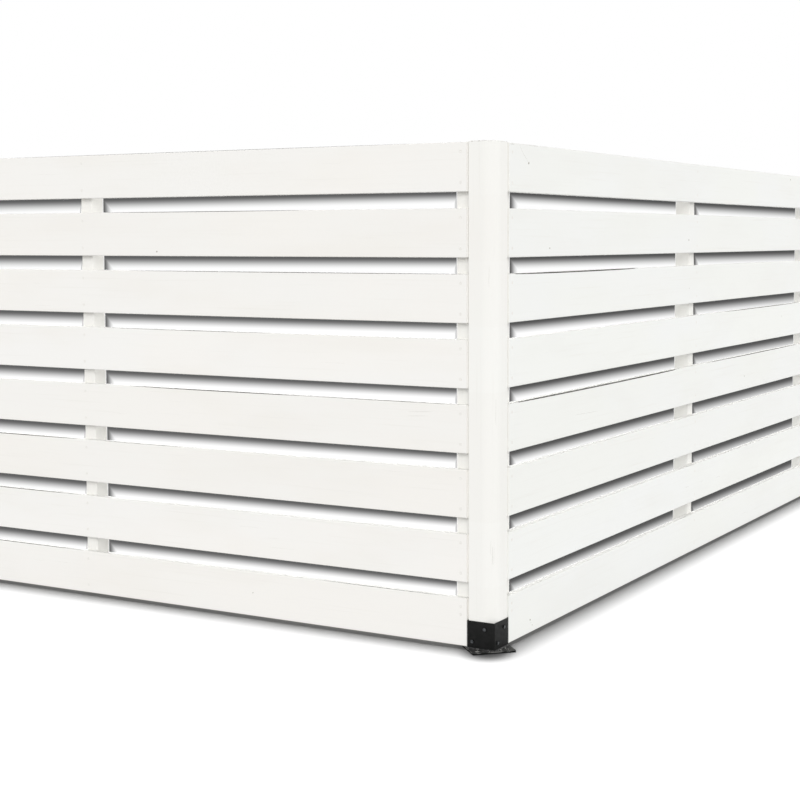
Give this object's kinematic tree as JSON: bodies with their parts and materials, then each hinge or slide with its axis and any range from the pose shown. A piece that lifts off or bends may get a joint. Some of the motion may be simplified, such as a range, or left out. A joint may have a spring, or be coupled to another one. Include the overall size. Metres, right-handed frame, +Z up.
{
  "type": "privacy fence",
  "caption": "Corner of a white slatted wood privacy fence: horizontal boards on upright battens, screwed to posts that stand in black steel shoes.",
  "frame": {"origin": "middle of the corner post's base plate, on the ground", "axes": "+Z up; the right panel runs along +Y with its front towards +X, the left panel along -X with its front towards -Y"},
  "size_m": [3.3546, 3.6246, 1.563],
  "materials": {
    "white_painted_wood": "planed softwood under white opaque paint, matt",
    "white_painted_screws": "countersunk steel screws painted over with the boards",
    "black_coated_steel": "black coated sheet steel, satin",
    "zinc_plated_steel": "zinc plated"
  },
  "bodies": {
    "root": {"corner_post": "white_painted_wood", "corner_shoe": "black_coated_steel", "corner_shoe_screws": "zinc_plated_steel", "left_slat_1": "white_painted_wood", "left_slat_2": "white_painted_wood", "left_slat_3": "white_painted_wood", "left_slat_4": "white_painted_wood", "left_slat_5": "white_painted_wood", "left_slat_6": "white_painted_wood", "left_slat_7": "white_painted_wood", "left_slat_8": "white_painted_wood", "left_corner_stile": "white_painted_wood", "left_corner_slat_screws": "white_painted_screws", "left_middle_stile": "white_painted_wood", "left_middle_slat_screws": "white_painted_screws", "left_far_stile": "white_painted_wood", "left_far_slat_screws": "white_painted_screws", "left_corner_post_screws": "zinc_plated_steel", "left_far_post_screws": "zinc_plated_steel", "left_far_post": "white_painted_wood", "left_far_shoe": "black_coated_steel", "left_far_shoe_screws": "zinc_plated_steel", "right_slat_1": "white_painted_wood", "right_slat_2": "white_painted_wood", "right_slat_3": "white_painted_wood", "right_slat_4": "white_painted_wood", "right_slat_5": "white_painted_wood", "right_slat_6": "white_painted_wood", "right_slat_7": "white_painted_wood", "right_slat_8": "white_painted_wood", "right_corner_stile": "white_painted_wood", "right_corner_slat_screws": "white_painted_screws", "right_middle_stile": "white_painted_wood", "right_middle_slat_screws": "white_painted_screws", "right_far_stile": "white_painted_wood", "right_far_slat_screws": "white_painted_screws", "right_corner_post_screws": "zinc_plated_steel", "right_far_post_screws": "zinc_plated_steel", "right_far_post": "white_painted_wood", "right_far_shoe": "black_coated_steel", "right_far_shoe_screws": "zinc_plated_steel"}
  },
  "joints": []
}
